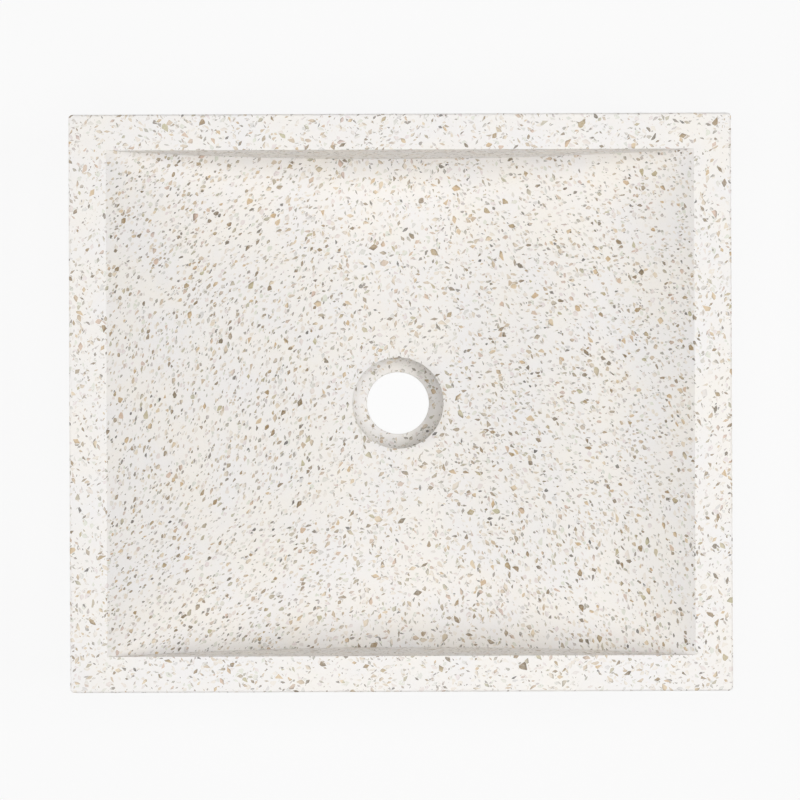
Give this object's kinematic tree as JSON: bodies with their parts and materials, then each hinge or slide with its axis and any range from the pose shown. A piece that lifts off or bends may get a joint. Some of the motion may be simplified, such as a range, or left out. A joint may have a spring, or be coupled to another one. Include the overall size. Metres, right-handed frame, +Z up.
{
  "type": "terrazzo vessel sink",
  "caption": "Rectangular countertop basin of polished terrazzo: flat rim, dished floor between upright front and back walls, and an open drain hole in a round recess.",
  "frame": {"origin": "middle of the footprint, on the plane that the foot stands on", "axes": "+X to the right along the longer side, +Y to the back, +Z up from the counter to the rim"},
  "size_m": [0.47, 0.41, 0.12],
  "materials": {
    "terrazzo": "white cement with tan, taupe, grey and charcoal marble chips, honed and sealed",
    "mortar": "trowelled fibre-reinforced mortar, matt",
    "foam": "expanded polystyrene beads, matt",
    "galvanised_steel": "galvanised wire and bar, dull grey"
  },
  "bodies": {
    "root": {"terrazzo_bowl": "terrazzo", "backing_mortar": "mortar", "void_former_left": "foam", "void_former_right": "foam", "floor_mesh": "galvanised_steel", "rim_hoop": "galvanised_steel", "base_hoop": "galvanised_steel", "corner_bars": "galvanised_steel"}
  },
  "joints": []
}
